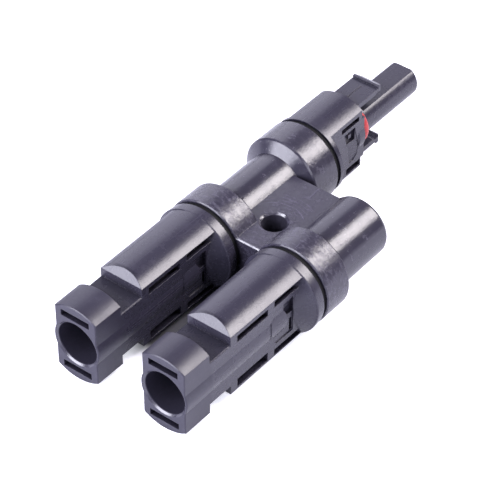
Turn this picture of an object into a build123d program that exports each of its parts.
# Two-into-one branch connector for photovoltaic cables (4 mm contact system).
# Two socket housings side by side feed one plug housing through a moulded
# branch body with a web and a mounting hole.
#
# Frame: millimetres, +Z up. Origin at the centre of the mounting hole, half way
# through the web. +Y runs along the connector axes from the sockets to the
# plug, +X from the left line (sockets to plug) to the right line (dead end).
# The sockets face -Y and the plug faces +Y.
# Places along Y are stations, measured from a datum 49 mm on the socket side of
# the mounting hole and moved into the frame by to_y(). Names in _START, _END
# and the like are stations; _LOW and _HIGH are heights; _HALF is a half width.

from build123d import *
import os

# ----------------------------------------------------------- shared dimensions
PITCH = 22.56            # distance between the two connector axes
LEFT = -PITCH / 2
RIGHT = PITCH / 2
DATUM_TO_HOLE = 49.0     # station of the mounting hole

SHELL_R = 9.40           # round top and bottom of the housings
FLAT_FRONT = 5.34        # half width over the socket's flats at its front
TUBE_R = 5.85            # bore tube that bulges through the flats
CHAMBER_R = 3.60         # contact chamber
CHAMBER_START = 26.2     # in the sockets
PLUG_CHAMBER_END = 85.7
SPIGOT_R = 7.60          # spigots that enter the branch body's collars
SPIGOT_CHAMFER = 0.5
SPIGOT_END = 46.2
PLUG_SPIGOT_START = 67.3
SOCKET_FLANGE_END = 38.8
COLLAR_START = 40.0
PLUG_COLLAR_END = 73.84
PLUG_FLANGE = 75.0       # flange face on the gasket

ARM_HALF = 3.50          # latch arms
ARM_SIDE_GAP = 0.15
ARM_LOW = 6.15
ARM_HIGH = 7.35
ARM_MID = (ARM_LOW + ARM_HIGH) / 2
ARM_ROOT = 78.6
ARM_ROOT_R = 0.60
O_RING_R_IN = 3.84
O_RING_START = 89.4
O_RING_END = 91.4
PIN_GUIDED_R = 2.30      # thicker root, guided by the housing's inner wall

BAR_START = 47.2         # flat part of the busbars
BAR_END = 66.8
BAR_HALF = 3.0
BAR_HALF_T = 1.0         # half thickness
TAIL_R = 2.0             # round ends of the busbars
BRIDGE_MID = 57.0        # the bridge bar joins the lines here
BRIDGE_HALF = 3.0
BRIDGE_T = 1.6
BRANCH_BAR_END = BRIDGE_MID + BRIDGE_HALF + 1.0
RIVET_HEAD_R = 2.1
RIVET_HEAD_T = 0.8

# Allowances of the modelling steps
OVERLAP = 0.5            # solids and bores run this far into their neighbour
PAST = 1.0               # cutters run this far past a face
SLIVER = 0.01            # cutters of small bevels run this far past them
REACH = 8.0              # cutters reach this far sideways, outside the flanks
KEY_REACH = 6.0          # the same for the blocks that flatten keyed rounds
CUT_TOP = 12.0           # cutters reach this high, above the shells


# --------------------------------------------------------------------- helpers
def to_y(station):
    return station - DATUM_TO_HOLE


def rod(x, start, end, radius):
    """Cylinder along Y."""
    middle = (to_y(start) + to_y(end)) / 2
    return Pos(x, middle, 0) * Rot(-90, 0, 0) * Cylinder(radius, end - start)


def taper(x, start, end, start_radius, end_radius):
    """Cone along Y."""
    middle = (to_y(start) + to_y(end)) / 2
    return Pos(x, middle, 0) * Rot(-90, 0, 0) * Cone(start_radius, end_radius, end - start)


def block(x_from, x_to, start, end, low, high):
    """Box between limits; the two x limits may come in either order."""
    centre = Pos((x_from + x_to) / 2, (to_y(start) + to_y(end)) / 2, (low + high) / 2)
    return centre * Box(abs(x_to - x_from), end - start, high - low)


def mid_block(x, half, start, end, low, high):
    """Box centred on x."""
    return block(x - half, x + half, start, end, low, high)


def flank_block(x, flank, inner, outer, start, end, low, high):
    """Box from inner to outer off the axis at x, on the flank -1 (-X) or 1 (+X)."""
    return block(x + flank * inner, x + flank * outer, start, end, low, high)


def post(x, station, radius, low, high):
    """Cylinder along Z."""
    return Pos(x, to_y(station), (low + high) / 2) * Cylinder(radius, high - low)


def disc_x(x_from, x_to, station, z, radius):
    """Cylinder along X; the x limits may come in either order."""
    centre = Pos((x_from + x_to) / 2, to_y(station), z)
    return centre * Rot(0, 90, 0) * Cylinder(radius, abs(x_to - x_from))


def turned(x, profile):
    """Solid of revolution about the axis at x; profile: (radius, station)."""
    points = [(x + radius, to_y(station)) for radius, station in profile]
    face = make_face(Polyline(*points, close=True))
    return revolve(face, Axis((x, 0, 0), (0, 1, 0)), 360)


def plan(outline, low, high):
    """Plan outline, (x, station), extruded from low to high."""
    points = [(x, to_y(station)) for x, station in outline]
    face = Pos(0, 0, low) * make_face(Polyline(*points, close=True))
    return extrude(face, high - low, dir=(0, 0, 1))


def side(outline, x_from, x_to):
    """Side outline, (station, z), extruded along X; x limits in either order."""
    left, right = sorted((x_from, x_to))
    points = [(left, to_y(station), z) for station, z in outline]
    face = make_face(Polyline(*points, close=True))
    return extrude(face, right - left, dir=(1, 0, 0))


def double_d(x, start, end, radius, start_half, end_half):
    """Round top and bottom, flat flanks start_half to end_half off the axis."""
    flanks = [(x - start_half, start), (x + start_half, start),
              (x + end_half, end), (x - end_half, end)]
    flats = plan(flanks, -CUT_TOP, CUT_TOP)
    return rod(x, start, end, radius) & flats


def cut_both(body, tool):
    """Cut with the tool, then with its mirror image in z = 0."""
    body -= tool
    body -= mirror(tool, about=Plane.XY)
    return body


def one_solid(shape):
    """The largest solid; loose slivers are dropped."""
    return sorted(shape.solids(), key=lambda solid: solid.volume)[-1]


def edges_at(shape, station, tolerance=1e-3):
    """Edges that lie in the plane across Y at this station."""
    found = []
    for edge in shape.edges():
        box = edge.bounding_box()
        if (abs(box.min.Y - to_y(station)) < tolerance
                and abs(box.max.Y - to_y(station)) < tolerance):
            found.append(edge)
    return found


def try_edges(operation, shape, edges, size):
    """Fillet or chamfer edges."""
    for attempt in (size, size * 0.6, size * 0.3):
        # The kernel may refuse a size: try a smaller one, else stay sharp.
        try:
            new = operation(edges, attempt)
            if new.volume > 0 and len(new.solids()) == len(shape.solids()):
                return new
        except Exception:
            pass
    return shape


# -------------------------------------------------------------- socket housing
FRONT = -0.6             # front face
NOSE_R = 9.45            # round top and bottom of the front block
FRONT_CHAMFER = 0.20
BLOCK_END = 7.0          # rear face of the front block
FLAT_REAR = 5.60         # half width over the flats at the flange (draft)
WINDOW_END = 13.5        # latch window behind the front block
WINDOW_FLOOR = 5.62      # its floor height, right across the flats
FLOOR_BEVEL = 0.28       # side of the square bars that bevel the floor's edges
FLOOR_BEVEL_AT = 10.0    # they stand at the half width of this station
CREST_LOW = 7.75         # sloped crescent at the front of the shell, from here
CREST_RISE = 1.18        # its rise per millimetre
CREST_TOP = 11.0         # top of its cutter
TUBE_END = 26.3
SLOT_LOW = 6.05          # latch arm slot in the front face
SLOT_HIGH = 7.65

# Slots in the flanks: start, end, height nearest the axis, then the height
# farthest from it above the axis and below the axis
CORING_SLOTS = [
    (15.6, 25.3, 4.98, 6.72, 7.20),
    (27.4, 36.2, 5.75, 7.38, 7.30),
]
CORING_INNER = 2.2       # the slots reach in to here
LIP_INNER = 3.7          # pocket at the slot's edge nearest the axis
LIP_OUTER = 4.95
LIP_DROP = 0.75
LIP_OVERLAP = 0.1
HOLLOWS = [(15.7, 25.4), (28.1, 33.9)]   # start, end
HOLLOW_HALF = 3.9
HOLLOW_LOW = TUBE_R + 0.1
HOLLOW_HIGH = 7.30

SOCKET_FLANGE = 36.35    # front edge of the flange
CONE_START = 33.3        # the flanks swell into the flange from here
CONE_R = 5.45
CONE_OVERLAP = 0.1
FLANGE_WIDE_FRONT = 9.80 # half width of the flange at its front edge
FLANGE_WIDE_REAR = 9.50  # half width at the gasket
FLANGE_HIGH = 9.42       # half height
FLANGE_ROUND = 0.28
CONE_HIGH = FLANGE_HIGH - 0.25

# Window in each flank, with a lens-shaped boss in it
FLANK_START = 25.5
FLANK_END = 33.5
FLANK_FLOOR = 5.34       # distance of the window's floor from the axis
FLANK_HIGH = 4.5
FLANK_ARC_MID = 32.05    # centre of the window's rounded front
FLANK_ARC_R = 5.95
LENS_ARCS = [(FLANK_ARC_MID, 6.10), (25.8, 5.45)]   # station, radius
LENS_END = 31.5
LENS_CROWN_R = 5.98
POCKET_FLOOR = 4.60
FLANK_POCKETS = [        # start, end, low, high
    (30.6, FLANK_END, 0.6, FLANK_HIGH),
    (32.5, 33.3, -4.2, -0.9),
]

MOUTH_R = 5.00           # sealing bore at the mouth
MOUTH_CHAMFER = 0.45
MOUTH_DEPTH = 6.6
GUIDE_R = 4.27           # keyed bore for the nose
GUIDE_FLAT = 3.40
GUIDE_END = 23.5
PIN_GAP = 0.06


def flat_at(station):
    """Half width over the drafted flats."""
    return FLAT_FRONT + (FLAT_REAR - FLAT_FRONT) * station / SOCKET_FLANGE


def socket_front(x):
    body = double_d(x, FRONT, BLOCK_END, NOSE_R, FLAT_FRONT, flat_at(BLOCK_END))
    body += rod(x, FRONT, BLOCK_END, TUBE_R)
    return try_edges(chamfer, body, edges_at(body, FRONT), FRONT_CHAMFER)


def latch_window_section(x):
    """Section cut down to the window floor above and below."""
    body = double_d(x, BLOCK_END, WINDOW_END, NOSE_R, flat_at(BLOCK_END), flat_at(WINDOW_END))
    body += rod(x, BLOCK_END, WINDOW_END, TUBE_R)
    body = cut_both(body, mid_block(x, REACH, BLOCK_END, WINDOW_END, WINDOW_FLOOR, CUT_TOP))
    middle = (to_y(BLOCK_END) + to_y(WINDOW_END)) / 2
    for flank in (-1, 1):
        corner = Pos(x + flank * flat_at(FLOOR_BEVEL_AT), middle, WINDOW_FLOOR)
        bar = Box(FLOOR_BEVEL, WINDOW_END - BLOCK_END, FLOOR_BEVEL)
        body = cut_both(body, corner * Rot(0, 45, 0) * bar)
    return body


def main_shell(x):
    """Shell with a sloped crescent at its front, above and below."""
    shell = double_d(x, WINDOW_END, SOCKET_FLANGE_END, SHELL_R, flat_at(WINDOW_END), FLAT_REAR)
    shell += rod(x, WINDOW_END, TUBE_END, TUBE_R)
    crest = side([(WINDOW_END - OVERLAP, CREST_LOW - OVERLAP * CREST_RISE),
                  (WINDOW_END - OVERLAP, CREST_TOP),
                  (WINDOW_END + (CREST_TOP - CREST_LOW) / CREST_RISE, CREST_TOP)],
                 x - REACH, x + REACH)
    return cut_both(shell, crest)


def socket_spigot(x):
    return turned(x, [
        (0, CONE_START), (CONE_R, CONE_START), (CONE_R, SOCKET_FLANGE_END - OVERLAP),
        (SPIGOT_R, SOCKET_FLANGE_END - OVERLAP), (SPIGOT_R, SPIGOT_END - SPIGOT_CHAMFER),
        (SPIGOT_R - SPIGOT_CHAMFER, SPIGOT_END), (0, SPIGOT_END)])


def cut_coring(body, x):
    """Slots along the flanks, open to hollows above and below the tube."""
    tube = rod(x, 0.0, SPIGOT_END, TUBE_R)
    for start, end, low, upper_high, lower_high in CORING_SLOTS:
        for flank in (-1, 1):
            lip = flank_block(x, flank, LIP_INNER, LIP_OUTER, start, end,
                              low - LIP_DROP, low + LIP_OVERLAP)
            upper = flank_block(x, flank, CORING_INNER, REACH, start, end, low, upper_high)
            lower = flank_block(x, flank, CORING_INNER, REACH, start, end, low, lower_high)
            body -= (upper - tube) + lip
            body -= mirror((lower - tube) + lip, about=Plane.XY)
    for start, end in HOLLOWS:
        body = cut_both(body, mid_block(x, HOLLOW_HALF, start, end, HOLLOW_LOW, HOLLOW_HIGH))
    return body


def add_socket_flange(body, x):
    """Oval flange, wider at the flanks, with a cone leading into it."""
    cone = taper(x, CONE_START, SOCKET_FLANGE + CONE_OVERLAP, CONE_R,
                 FLANGE_WIDE_FRONT - FLANGE_ROUND)
    cone -= rod(x, CONE_START - PAST, SOCKET_FLANGE + PAST, CHAMBER_R)
    body += cone & mid_block(x, CUT_TOP, CONE_START, SOCKET_FLANGE + CONE_OVERLAP,
                             -CONE_HIGH, CONE_HIGH)
    sections = [
        Pos(x, to_y(station), 0) * Rot(90, 0, 0) * Ellipse(half, FLANGE_HIGH)
        for station, half in ((SOCKET_FLANGE, FLANGE_WIDE_FRONT),
                              (SOCKET_FLANGE_END, FLANGE_WIDE_REAR))]
    ring = loft(sections)
    body += try_edges(fillet, ring, edges_at(ring, SOCKET_FLANGE), FLANGE_ROUND)
    return body


def cut_flank_window(body, x, flank):
    floor = x + flank * FLANK_FLOOR
    pocket_floor = x + flank * POCKET_FLOOR
    outside = x + flank * REACH
    window = block(floor, outside, FLANK_START, FLANK_END, -FLANK_HIGH, FLANK_HIGH)
    window = window & (disc_x(floor, outside, FLANK_ARC_MID, 0, FLANK_ARC_R)
                       + block(floor, outside, FLANK_ARC_MID, 37, -5.0, 5.0))
    front_arc, rear_arc = [disc_x(pocket_floor, outside, station, 0, radius)
                           for station, radius in LENS_ARCS]
    boss = (front_arc & rear_arc) & rod(x, FLANK_START, LENS_END, LENS_CROWN_R)
    body -= window
    for start, end, low, high in FLANK_POCKETS:
        body -= block(pocket_floor, outside, start, end, low, high)
    return body + boss


def cut_socket_bores(body, x):
    body -= rod(x, FRONT - PAST, MOUTH_DEPTH, MOUTH_R)
    body -= taper(x, FRONT - SLIVER, FRONT + MOUTH_CHAMFER + SLIVER,
                  MOUTH_R + MOUTH_CHAMFER + SLIVER, MOUTH_R - SLIVER)
    guide_start = MOUTH_DEPTH - OVERLAP
    body -= rod(x, guide_start, GUIDE_END, GUIDE_R) & mid_block(
        x, KEY_REACH, guide_start, GUIDE_END, -GUIDE_FLAT, GUIDE_FLAT)
    body -= rod(x, GUIDE_END - OVERLAP, CHAMBER_START + OVERLAP, PIN_GUIDED_R + PIN_GAP)
    body -= rod(x, CHAMBER_START, SPIGOT_END + PAST, CHAMBER_R)
    return body


def socket_housing(x):
    body = socket_front(x)
    body += latch_window_section(x)
    body += main_shell(x)
    body += socket_spigot(x)
    # the arm slot opens through the front block into the window
    body = cut_both(body, mid_block(x, ARM_HALF + ARM_SIDE_GAP, FRONT - PAST,
                                    BLOCK_END + OVERLAP, SLOT_LOW, SLOT_HIGH))
    body = cut_coring(body, x)
    body = add_socket_flange(body, x)
    for flank in (-1, 1):
        body = cut_flank_window(body, x, flank)
    return one_solid(cut_socket_bores(body, x))


# ---------------------------------------------------------------- plug housing
PLUG_FLAT = FLAT_FRONT + 0.1         # half width over the flats at the front
PLUG_FLAT_REAR = PLUG_FLAT + 0.15
PLUG_FLANGE_END = 76.4
PLUG_FLANGE_CHAMFER = 0.3
PLUG_SHELL_END = 87.8    # front edge of the round shell
PLUG_CORE_END = 88.8     # face that meets the mating socket
CORE_CONE_START = 85.9   # the core swells to the tube radius
CORE_CONE_END = 86.9
CORE_CONE_R = 5.30
ARM_HOLLOW_LOW = 5.35    # hollows for the latch arms
ARM_HOLLOW_HIGH = 7.50
ARM_SEAT_GAP = 0.06

# Slots in the flanks: start, end, slot low and high, then low and high of the
# groove at the slot's edge nearest the axis
PLUG_SLOTS = [
    (80.3, 86.7, ARM_HOLLOW_LOW, 6.62, 4.75, 5.45),
    (82.4, 87.4, -7.20, -5.60, -5.70, -4.95),
]
PLUG_SLOT_INNER = 3.0
GROOVE_INNER = 3.6
GROOVE_OUTER = PLUG_FLAT - 0.45

# Leaning recess between the slots: station, z
RECESS_OUTLINE = [
    (81.2, 4.50), (82.3, 1.40), (82.9, -1.80), (83.3, -4.40), (84.9, -4.55),
    (86.3, -3.30), (86.7, -1.00), (86.1, 1.20), (85.2, 4.50),
]
RECESS_INNER = 4.6
RECESS_FLOOR = [(4.92, 81.0), (PLUG_FLAT - 0.03, 86.8)]   # off the axis, station
RECESS_POCKET = (4.5, REACH, 82.0, 85.4, 1.0, 4.3)        # inner, outer, start, end, low, high
RECESS_STUB = (4.4, 4.95, 83.5, 84.5, 2.0, 3.0)           # the same

ROOT_R = 4.35            # round root of the nose
NOSE_TUBE_R = 4.12       # keyed nose
NOSE_FLAT = 3.25
NOSE_KEY_START = 92.2
NOSE_OVERLAP = 0.2
NOSE_ROUND = 0.45
NOSE_TIP = 111.3
GROOVE_END_GAP = 0.02    # seal groove round the o-ring
GROOVE_DEPTH_GAP = 0.02
GROOVE_CUT_R = 6.0
PLUG_BORE_R = 2.80       # bore of the nose
PLUG_BORE_END = 109.8
ENTRY_START = 109.0      # lipped entry at the tip
ENTRY_R = 2.35
ENTRY_CHAMFER = 0.35


def cut_plug_flank(body, x, flank):
    for start, end, low, high, groove_low, groove_high in PLUG_SLOTS:
        slot = flank_block(x, flank, PLUG_SLOT_INNER, REACH, start, end, low, high)
        groove = flank_block(x, flank, GROOVE_INNER, GROOVE_OUTER, start, end,
                             groove_low, groove_high)
        body -= slot + groove
    # the recess floor comes outwards towards the front
    (rear_floor, rear), (front_floor, front) = RECESS_FLOOR
    wedge = plan([(x + flank * rear_floor, rear), (x + flank * REACH, rear),
                  (x + flank * REACH, front), (x + flank * front_floor, front)], -6, 6)
    body -= side(RECESS_OUTLINE, x + flank * RECESS_INNER, x + flank * REACH) & wedge
    body -= flank_block(x, flank, *RECESS_POCKET)
    body += flank_block(x, flank, *RECESS_STUB)
    return body


def add_nose(body, x):
    """Round root with the seal groove, then keyed flats to the tip."""
    body += rod(x, PLUG_CORE_END - OVERLAP, NOSE_KEY_START, ROOT_R)
    start = NOSE_KEY_START - NOSE_OVERLAP
    nose = rod(x, start, NOSE_TIP, NOSE_TUBE_R)
    nose = try_edges(fillet, nose, edges_at(nose, NOSE_TIP), NOSE_ROUND)
    body += nose & mid_block(x, KEY_REACH, start, NOSE_TIP + PAST, -NOSE_FLAT, NOSE_FLAT)
    groove = rod(x, O_RING_START - GROOVE_END_GAP, O_RING_END + GROOVE_END_GAP, GROOVE_CUT_R)
    groove -= rod(x, O_RING_START - 0.1, O_RING_END + 0.1, O_RING_R_IN - GROOVE_DEPTH_GAP)
    body -= groove
    return body


def plug_housing(x):
    body = double_d(x, PLUG_FLANGE, PLUG_CORE_END, SHELL_R, PLUG_FLAT_REAR, PLUG_FLAT)
    # the round shell stops short of the core's face
    body = cut_both(body, mid_block(x, REACH, PLUG_SHELL_END, PLUG_CORE_END + PAST,
                                    ARM_HOLLOW_LOW, CUT_TOP))
    body += taper(x, CORE_CONE_START, CORE_CONE_END, CORE_CONE_R, TUBE_R)
    body += rod(x, CORE_CONE_END, PLUG_CORE_END, TUBE_R)
    # spigot and flange
    body += turned(x, [
        (0, PLUG_SPIGOT_START), (SPIGOT_R - SPIGOT_CHAMFER, PLUG_SPIGOT_START),
        (SPIGOT_R, PLUG_SPIGOT_START + SPIGOT_CHAMFER), (SPIGOT_R, PLUG_FLANGE),
        (SHELL_R, PLUG_FLANGE), (SHELL_R, PLUG_FLANGE_END - PLUG_FLANGE_CHAMFER),
        (SHELL_R - PLUG_FLANGE_CHAMFER, PLUG_FLANGE_END), (0, PLUG_FLANGE_END)])
    # hollows for the latch arms, open to the front, with round seats at their roots
    half = ARM_HALF + ARM_SIDE_GAP
    body = cut_both(body, mid_block(x, half, ARM_ROOT, PLUG_CORE_END + PAST,
                                    ARM_HOLLOW_LOW, ARM_HOLLOW_HIGH))
    body = cut_both(body, disc_x(x - half, x + half, ARM_ROOT, ARM_MID,
                                 ARM_ROOT_R + ARM_SEAT_GAP))
    for flank in (-1, 1):
        body = cut_plug_flank(body, x, flank)
    body = add_nose(body, x)
    # bores: contact chamber, nose bore, lipped entry
    body -= rod(x, PLUG_SPIGOT_START - PAST, PLUG_CHAMBER_END, CHAMBER_R)
    body -= rod(x, PLUG_CHAMBER_END - OVERLAP, PLUG_BORE_END, PLUG_BORE_R)
    body -= rod(x, ENTRY_START, NOSE_TIP + PAST, ENTRY_R)
    body -= taper(x, NOSE_TIP - ENTRY_CHAMFER, NOSE_TIP + SLIVER,
                  ENTRY_R - SLIVER, ENTRY_R + ENTRY_CHAMFER + SLIVER)
    return one_solid(body)


# ------------------------------------------------------------------ latch arms
CATCH = 96.45            # catch face of the barb
BARB_TOP = 7.95
ARM_TIP = 98.4
ARM_OUTLINE = [          # station, z
    (ARM_ROOT, ARM_LOW), (95.2, ARM_LOW), (96.2, 6.56), (97.9, 6.56),
    (ARM_TIP, 6.80), (ARM_TIP, 7.05), (97.0, BARB_TOP), (CATCH, BARB_TOP),
    (CATCH, ARM_HIGH), (ARM_ROOT, ARM_HIGH),
]
FLUTE_START = 88.6       # shallow flute along the middle of the top
FLUTE_END = 94.8
FLUTE_HALF = 0.25
FLUTE_DEPTH = 0.12
TRIM_START = 97.3        # barb corners are trimmed in plan
TRIM_WIDTH = 0.9
ARM_CUT_TOP = 9


def latch_arm(x):
    """Upper arm; the lower one is its mirror image."""
    arm = side(ARM_OUTLINE, x - ARM_HALF, x + ARM_HALF)
    arm += disc_x(x - ARM_HALF, x + ARM_HALF, ARM_ROOT, ARM_MID, ARM_ROOT_R)
    arm -= mid_block(x, FLUTE_HALF, FLUTE_START, FLUTE_END, ARM_HIGH - FLUTE_DEPTH, ARM_CUT_TOP)
    for flank in (-1, 1):
        outside = x + flank * (ARM_HALF + PAST)
        arm -= plan([(x + flank * ARM_HALF, TRIM_START),
                     (x + flank * (ARM_HALF - TRIM_WIDTH), ARM_TIP + SLIVER),
                     (outside, ARM_TIP + SLIVER), (outside, TRIM_START)], 5, ARM_CUT_TOP)
    return one_solid(arm)


# ----------------------------------------------------------------- branch body
COLLAR_R = 9.60
COLLAR_END = 47.45
COLLAR_CHAMFER = 0.25    # at the gasket
COLLAR_BACK_CHAMFER = 0.45
COLLAR_FOOT = 0.35       # bevel between collar and barrel
BARREL_R = 7.0           # left barrel, between the collars
DEAD_R = 7.1             # right barrel
DEAD_END = 64.2          # its closed end
SHOULDER_START = 64.2
PLUG_COLLAR_START = 66.0
WEB_HALF_T = 4.80        # half thickness of the web
WEB_END = 63.9
WEB_CHAMFER = 0.30
HOLE_R = 2.75            # mounting hole
HOLE_CHAMFER = 0.50
SPIGOT_BORE_R = SPIGOT_R + 0.02
SPIGOT_END_GAP = 0.1
CAVITY_GAP = 0.05        # moulding gap round the busbars


def collar_profile(barrel_radius):
    """Socket collar and the start of the barrel behind it."""
    return [(0, COLLAR_START), (COLLAR_R - COLLAR_CHAMFER, COLLAR_START),
            (COLLAR_R, COLLAR_START + COLLAR_CHAMFER),
            (COLLAR_R, COLLAR_END - COLLAR_BACK_CHAMFER),
            (COLLAR_R - COLLAR_BACK_CHAMFER, COLLAR_END),
            (barrel_radius + COLLAR_FOOT, COLLAR_END),
            (barrel_radius, COLLAR_END + COLLAR_FOOT)]


def is_free_edge(edge):
    """Long edge across the web, at its top or bottom face."""
    box = edge.bounding_box()
    return (box.max.X - box.min.X > 10 and box.max.Y - box.min.Y < 1e-3
            and abs(abs(box.min.Z) - WEB_HALF_T) < 1e-3)


def cut_bus_cavities(body):
    gap = CAVITY_GAP
    for x, end in ((LEFT, BAR_END), (RIGHT, BRANCH_BAR_END)):
        body -= mid_block(x, BAR_HALF + gap, BAR_START - gap, end + gap,
                          -BAR_HALF_T - gap, BAR_HALF_T + gap)
    for x in (LEFT, RIGHT):
        body -= rod(x, SPIGOT_END - OVERLAP, BAR_START + gap, TAIL_R + gap)
    body -= rod(LEFT, BAR_END - gap, PLUG_SPIGOT_START + OVERLAP, TAIL_R + gap)
    bridge_top = BAR_HALF_T + BRIDGE_T
    body -= block(LEFT - BAR_HALF - gap, RIGHT + BAR_HALF + gap,
                  BRIDGE_MID - BRIDGE_HALF - gap, BRIDGE_MID + BRIDGE_HALF + gap,
                  BAR_HALF_T, bridge_top + gap)
    for x in (LEFT, RIGHT):
        body -= post(x, BRIDGE_MID, RIVET_HEAD_R + gap, BAR_HALF_T,
                     bridge_top + RIVET_HEAD_T + gap)
        body -= post(x, BRIDGE_MID, RIVET_HEAD_R + gap, -BAR_HALF_T - RIVET_HEAD_T - gap,
                     -BAR_HALF_T)
    return body


def branch_body():
    left = turned(LEFT, collar_profile(BARREL_R) + [
        (BARREL_R, SHOULDER_START), (COLLAR_R - 0.3, PLUG_COLLAR_START - 0.1),
        (COLLAR_R, PLUG_COLLAR_START + 0.3), (COLLAR_R, PLUG_COLLAR_END - COLLAR_CHAMFER),
        (COLLAR_R - COLLAR_CHAMFER, PLUG_COLLAR_END), (0, PLUG_COLLAR_END)])
    right = turned(RIGHT, collar_profile(DEAD_R) + [
        (DEAD_R, DEAD_END - 0.7), (DEAD_R - 0.2, DEAD_END - 0.2),
        (DEAD_R - 0.7, DEAD_END), (0, DEAD_END)])
    web = plan([(LEFT, COLLAR_START), (RIGHT, COLLAR_START), (RIGHT, WEB_END - 1.2),
                (RIGHT - 0.5, WEB_END), (LEFT, WEB_END)], -WEB_HALF_T, WEB_HALF_T)
    web = try_edges(chamfer, web, [e for e in web.edges() if is_free_edge(e)], WEB_CHAMFER)
    body = left + right
    body += web
    # mounting hole with bevelled rims
    body -= post(0, DATUM_TO_HOLE, HOLE_R, -WEB_HALF_T - PAST, WEB_HALF_T + PAST)
    bevel = Cone(HOLE_R - SLIVER / 2, HOLE_R + HOLE_CHAMFER + SLIVER / 2, HOLE_CHAMFER + SLIVER)
    body = cut_both(body, Pos(0, 0, WEB_HALF_T - HOLE_CHAMFER / 2 + SLIVER / 2) * bevel)
    for x in (LEFT, RIGHT):
        body -= rod(x, COLLAR_START - PAST, SPIGOT_END + SPIGOT_END_GAP, SPIGOT_BORE_R)
    body -= rod(LEFT, PLUG_SPIGOT_START - SPIGOT_END_GAP, PLUG_COLLAR_END + PAST, SPIGOT_BORE_R)
    return one_solid(cut_bus_cavities(body))


# -------------------------------------------------------------------- contacts
PIN_R = 2.0
PIN_TIP = 7.0
PIN_GUIDED_START = 23.2
SHOULDER_R = 3.25
NECK_R = 2.6
CONTACT_BARREL_R = 3.0
CUP_R = 2.05             # solder cup in the busbar end of each contact
SEAT_GAP = 0.1           # between a contact's shoulder and its chamber's end
INSPECTION_R = 0.6       # hole from above into the solder cup
PIN_CUP_START = 36.0
PIN_CUP_END = 44.0
PIN_INSPECTION = 37.5
CONTACT_START = 68.0
CONTACT_CUP_END = 75.0
CONTACT_INSPECTION = 74.0
CONTACT_END = 109.7
CONTACT_R = 2.70         # sleeve that takes the mating pin
CONTACT_CHAMFER = 0.3
SLEEVE_BORE_R = 2.03
SLEEVE_BORE_START = 94.6
SLEEVE_ENTRY = 0.35      # bevel at the mouth of its bore
BAND_START = 100.0       # groove for the louvre band
BAND_END = 107.0
BAND_GROOVE_R = 2.38
BAND_END_GAP = 0.05
BAND_R_OUT = BAND_GROOVE_R - 0.02
BAND_R_IN = 2.16
LOUVRES = 12
SOCKET_CLIP = (28.4, 33.8)   # start, end
PLUG_CLIP = (77.4, 83.3)
CLIP_R_OUT = 3.54
CLIP_R_IN = 2.98
CLIP_SLIT_HALF = 0.6
TONGUE_CUT = 2.2         # width of the cut round each tongue
TONGUE = 1.3             # width of the tongue
TONGUE_SHARE = 0.62      # length of the cut as a share of the clip
TONGUE_SHIFT = 0.5


def contact_pin(x):
    seat = CHAMBER_START + SEAT_GAP
    pin = turned(x, [
        (0, PIN_TIP), (0.9, PIN_TIP), (1.65, PIN_TIP + 0.45), (PIN_R, PIN_TIP + 1.4),
        (PIN_R, PIN_GUIDED_START - 0.3), (PIN_GUIDED_R, PIN_GUIDED_START),
        (PIN_GUIDED_R, seat), (SHOULDER_R, seat), (SHOULDER_R, 27.8),
        (NECK_R, 27.8), (NECK_R, 34.2), (CONTACT_BARREL_R, 34.4),
        (CONTACT_BARREL_R, PIN_CUP_END), (CUP_R, PIN_CUP_END),
        (CUP_R, PIN_CUP_START), (0, PIN_CUP_START)])
    pin -= post(x, PIN_INSPECTION, INSPECTION_R, 0, 5)
    return one_solid(pin)


def socket_contact(x):
    seat = PLUG_CHAMBER_END - SEAT_GAP
    body = turned(x, [
        (0, CONTACT_START), (CONTACT_BARREL_R, CONTACT_START), (CONTACT_BARREL_R, 76.4),
        (NECK_R, 76.6), (NECK_R, 83.9), (SHOULDER_R, 83.9), (SHOULDER_R, seat),
        (CONTACT_R, seat), (CONTACT_R, CONTACT_END - CONTACT_CHAMFER),
        (CONTACT_R - CONTACT_CHAMFER, CONTACT_END), (0, CONTACT_END)])
    body -= rod(x, SLEEVE_BORE_START, 111, SLEEVE_BORE_R)
    body -= rod(x, BAND_START, BAND_END, BAND_GROOVE_R)
    body -= taper(x, CONTACT_END - SLEEVE_ENTRY, CONTACT_END + SLIVER,
                  SLEEVE_BORE_R - SLIVER, SLEEVE_BORE_R + SLEEVE_ENTRY - SLIVER)
    body -= rod(x, CONTACT_START - PAST, CONTACT_CUP_END, CUP_R)
    body -= post(x, CONTACT_INSPECTION, INSPECTION_R, 0, 5)
    return one_solid(body)


def louvre_band(x):
    """Sprung band that grips the mating pin, slotted all round and split below."""
    band = rod(x, BAND_START + BAND_END_GAP, BAND_END - BAND_END_GAP, BAND_R_OUT)
    band -= rod(x, BAND_START - PAST, BAND_END + PAST, BAND_R_IN)
    middle = to_y((BAND_START + BAND_END) / 2)
    for i in range(LOUVRES):
        turn = Rot(0, 360.0 / LOUVRES * i, 0)
        band -= Pos(x, middle, 0) * turn * Pos(0, 0, 2.2) * Box(0.42, 5.2, 1.2)
    band -= mid_block(x, 0.3, BAND_START - PAST, BAND_END + PAST, -3, 0)
    return one_solid(band)


def retaining_clip(x, start, end, root):
    """Sprung clip round a contact's neck, split below, with three tongues.
    root: 1 joins the tongues at their +Y ends, -1 at their -Y ends."""
    clip = rod(x, start, end, CLIP_R_OUT) - rod(x, start - PAST, end + PAST, CLIP_R_IN)
    clip -= mid_block(x, CLIP_SLIT_HALF, start - PAST, end + PAST, -5, 0)
    length = (end - start) * TONGUE_SHARE
    for angle in (90, -90, 0):
        tongue = Pos(0, root * TONGUE_SHIFT, 0) * Box(TONGUE, length, 3.1)
        cut = Box(TONGUE_CUT, length, 3.0) - tongue
        clip -= Pos(x, to_y((start + end) / 2), 0) * Rot(0, angle, 0) * Pos(0, 0, 3.3) * cut
    return one_solid(clip)


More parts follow.
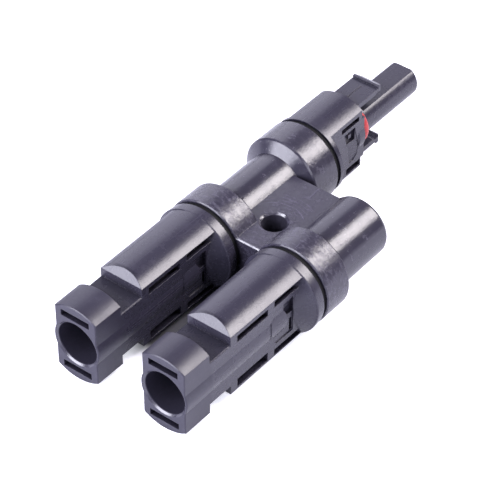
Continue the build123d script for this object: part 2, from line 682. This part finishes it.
# ----------------------------------------------------------------------- seals
O_RING_R_OUT = 5.30
GASKET_R_IN = 7.65
GASKET_R_OUT = 8.95


def gasket(x, start, end):
    return one_solid(rod(x, start, end, GASKET_R_OUT)
                     - rod(x, start - PAST, end + PAST, GASKET_R_IN))


def o_ring(x):
    """Ring of elliptical section."""
    centre = Pos(x + (O_RING_R_IN + O_RING_R_OUT) / 2, to_y((O_RING_START + O_RING_END) / 2))
    section = Ellipse((O_RING_R_OUT - O_RING_R_IN) / 2, (O_RING_END - O_RING_START) / 2)
    face = make_face(centre * section.edge())
    return one_solid(revolve(face, Axis((x, 0, 0), (0, 1, 0)), 360))


# --------------------------------------------------------------------- busbars
TAIL_START = 37.0        # ends of the round tails
TAIL_END = 74.0
RIVET_R = 1.25
RIVET_HOLE_R = RIVET_R + 0.02
RIVET_OVERLAP = 0.1      # the shank runs this far into its heads


def busbar(x, end, plug_tail):
    bar = mid_block(x, BAR_HALF, BAR_START, end, -BAR_HALF_T, BAR_HALF_T)
    bar += rod(x, TAIL_START, BAR_START, TAIL_R)
    if plug_tail:
        bar += rod(x, end, TAIL_END, TAIL_R)
    bar -= post(x, BRIDGE_MID, RIVET_HOLE_R, -2, 2)
    return one_solid(bar)


def bridge_bar():
    bar = block(LEFT - BAR_HALF, RIGHT + BAR_HALF, BRIDGE_MID - BRIDGE_HALF,
                BRIDGE_MID + BRIDGE_HALF, BAR_HALF_T, BAR_HALF_T + BRIDGE_T)
    for x in (LEFT, RIGHT):
        bar -= post(x, BRIDGE_MID, RIVET_HOLE_R, 0, 4)
    return one_solid(bar)


def bridge_rivets():
    rivets = []
    top = BAR_HALF_T + BRIDGE_T
    for x in (LEFT, RIGHT):
        rivet = post(x, BRIDGE_MID, RIVET_R, -BAR_HALF_T - RIVET_OVERLAP, top + RIVET_OVERLAP)
        rivet += post(x, BRIDGE_MID, RIVET_HEAD_R, top, top + RIVET_HEAD_T)
        rivet += post(x, BRIDGE_MID, RIVET_HEAD_R, -BAR_HALF_T - RIVET_HEAD_T, -BAR_HALF_T)
        rivets.append(one_solid(rivet))
    return Compound(rivets)


# ---------------------------------------------------------------------- output
upper_arm = latch_arm(LEFT)
nodes = {
    "branch_body": branch_body(),
    "plug_housing": plug_housing(LEFT),
    "upper_latch_arm": upper_arm,
    "lower_latch_arm": one_solid(mirror(upper_arm, about=Plane.XY)),
    "nose_o_ring": o_ring(LEFT),
    "plug_joint_gasket": gasket(LEFT, PLUG_COLLAR_END, PLUG_FLANGE),
    "socket_contact": socket_contact(LEFT),
    "socket_contact_spring": louvre_band(LEFT),
    "plug_retaining_clip": retaining_clip(LEFT, *PLUG_CLIP, root=-1),
    "line_busbar": busbar(LEFT, BAR_END, plug_tail=True),
    "branch_busbar": busbar(RIGHT, BRANCH_BAR_END, plug_tail=False),
    "bridge_bar": bridge_bar(),
    "bridge_rivets": bridge_rivets(),
}
for line, x in (("left", LEFT), ("right", RIGHT)):
    nodes[f"{line}_socket_housing"] = socket_housing(x)
    nodes[f"{line}_joint_gasket"] = gasket(x, SOCKET_FLANGE_END, COLLAR_START)
    nodes[f"{line}_contact_pin"] = contact_pin(x)
    nodes[f"{line}_retaining_clip"] = retaining_clip(x, *SOCKET_CLIP, root=1)

os.makedirs("parts", exist_ok=True)
for name, shape in nodes.items():
    shape.label = name
    export_step(shape, f"parts/{name}.step")
